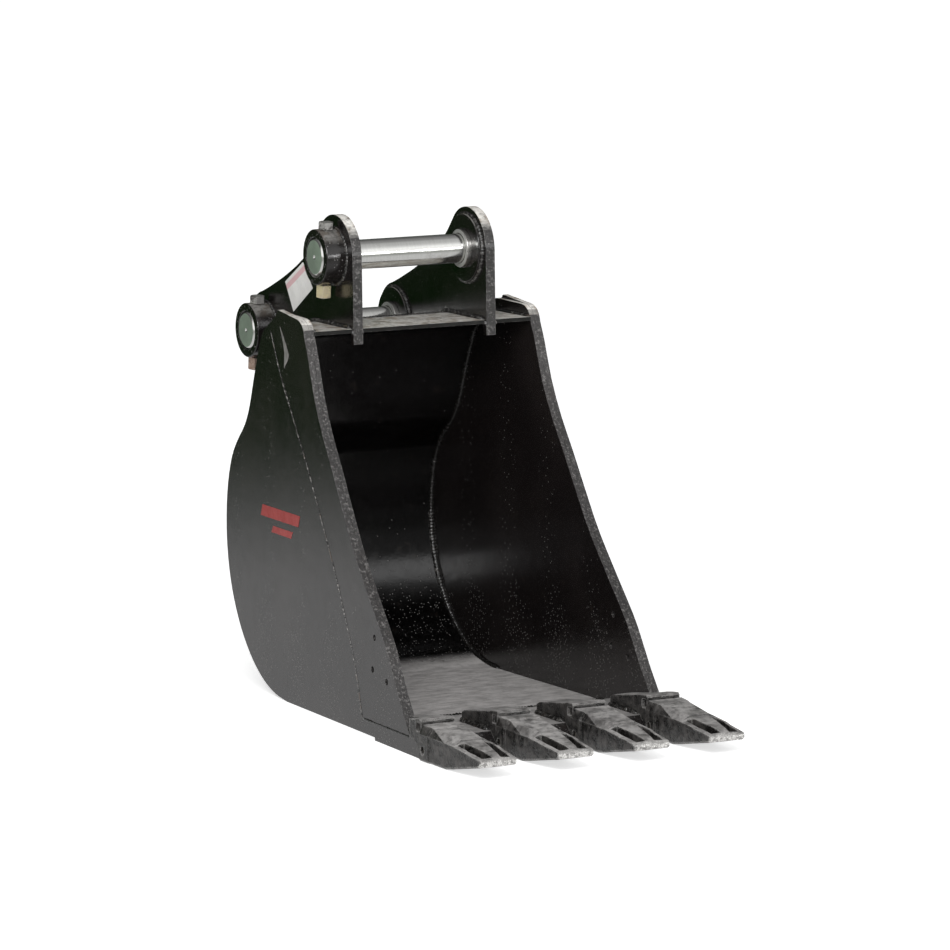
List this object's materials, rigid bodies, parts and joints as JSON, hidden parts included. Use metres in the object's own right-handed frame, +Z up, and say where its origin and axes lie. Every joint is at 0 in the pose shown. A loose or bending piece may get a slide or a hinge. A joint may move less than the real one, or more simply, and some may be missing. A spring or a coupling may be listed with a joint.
{
  "type": "excavator bucket",
  "caption": "Pin-on trenching bucket for a small excavator, with hanger ears, cross-bolted pins and weld-on flared teeth.",
  "frame": {"origin": "centre of the bounding box, on the floor the bucket stands on", "axes": "+X along the pins to the bucket's right side, -Y out of the mouth towards the tooth tips, +Z up"},
  "size_m": [0.372, 0.812, 0.632],
  "materials": {
    "black_paint": "semi-gloss black paint",
    "black_cast_steel": "painted casting, worn at the tips",
    "bright_pin_steel": "ground bar",
    "bush_steel": "dull turned steel",
    "yellow_zinc": "yellow zinc plate"
  },
  "bodies": {
    "root": {"left_side_plate": "black_paint", "right_side_plate": "black_paint", "left_side_doubler": "black_paint", "right_side_doubler": "black_paint", "wrap_shell": "black_paint", "top_plate": "black_paint", "cutting_edge": "black_paint", "left_ear": "black_paint", "right_ear": "black_paint", "upper_left_collar": "black_paint", "lower_left_collar": "black_paint", "upper_right_bush": "bush_steel", "lower_right_bush": "bush_steel", "upper_right_boss": "black_paint", "lower_right_boss": "black_paint", "upper_pin": "bright_pin_steel", "lower_pin": "bright_pin_steel", "adapter_1": "black_cast_steel", "adapter_2": "black_cast_steel", "adapter_3": "black_cast_steel", "adapter_4": "black_cast_steel", "tooth_point_1": "black_cast_steel", "tooth_point_2": "black_cast_steel", "tooth_point_3": "black_cast_steel", "tooth_point_4": "black_cast_steel"},
    "upper_bolt_body": {"upper_bolt": "yellow_zinc"},
    "upper_nut_body": {"upper_nut": "yellow_zinc"},
    "lower_bolt_body": {"lower_bolt": "yellow_zinc"},
    "lower_nut_body": {"lower_nut": "yellow_zinc"},
    "lock_pin_1_body": {"lock_pin_1": "yellow_zinc"},
    "lock_pin_2_body": {"lock_pin_2": "yellow_zinc"},
    "lock_pin_3_body": {"lock_pin_3": "yellow_zinc"},
    "lock_pin_4_body": {"lock_pin_4": "yellow_zinc"}
  },
  "joints": [
    {"name": "upper_bolt_lift", "type": "slide", "parent": "root", "child": "upper_bolt_body", "axis": [0, -0.1045, 0.9945], "range_m": [0, 0.0925]},
    {"name": "upper_nut_off", "type": "slide", "parent": "root", "child": "upper_nut_body", "axis": [0, 0.1045, -0.9945], "range_m": [0, 0.0195]},
    {"name": "lower_bolt_lift", "type": "slide", "parent": "root", "child": "lower_bolt_body", "axis": [0, -0.1045, 0.9945], "range_m": [0, 0.0925]},
    {"name": "lower_nut_off", "type": "slide", "parent": "root", "child": "lower_nut_body", "axis": [0, 0.1045, -0.9945], "range_m": [0, 0.0195]},
    {"name": "lock_pin_1_slide", "type": "slide", "parent": "root", "child": "lock_pin_1_body", "axis": [-1, 0, 0], "range_m": [0, 0.052]},
    {"name": "lock_pin_2_slide", "type": "slide", "parent": "root", "child": "lock_pin_2_body", "axis": [-1, 0, 0], "range_m": [0, 0.052]},
    {"name": "lock_pin_3_slide", "type": "slide", "parent": "root", "child": "lock_pin_3_body", "axis": [1, 0, 0], "range_m": [0, 0.052]},
    {"name": "lock_pin_4_slide", "type": "slide", "parent": "root", "child": "lock_pin_4_body", "axis": [1, 0, 0], "range_m": [0, 0.052]}
  ]
}
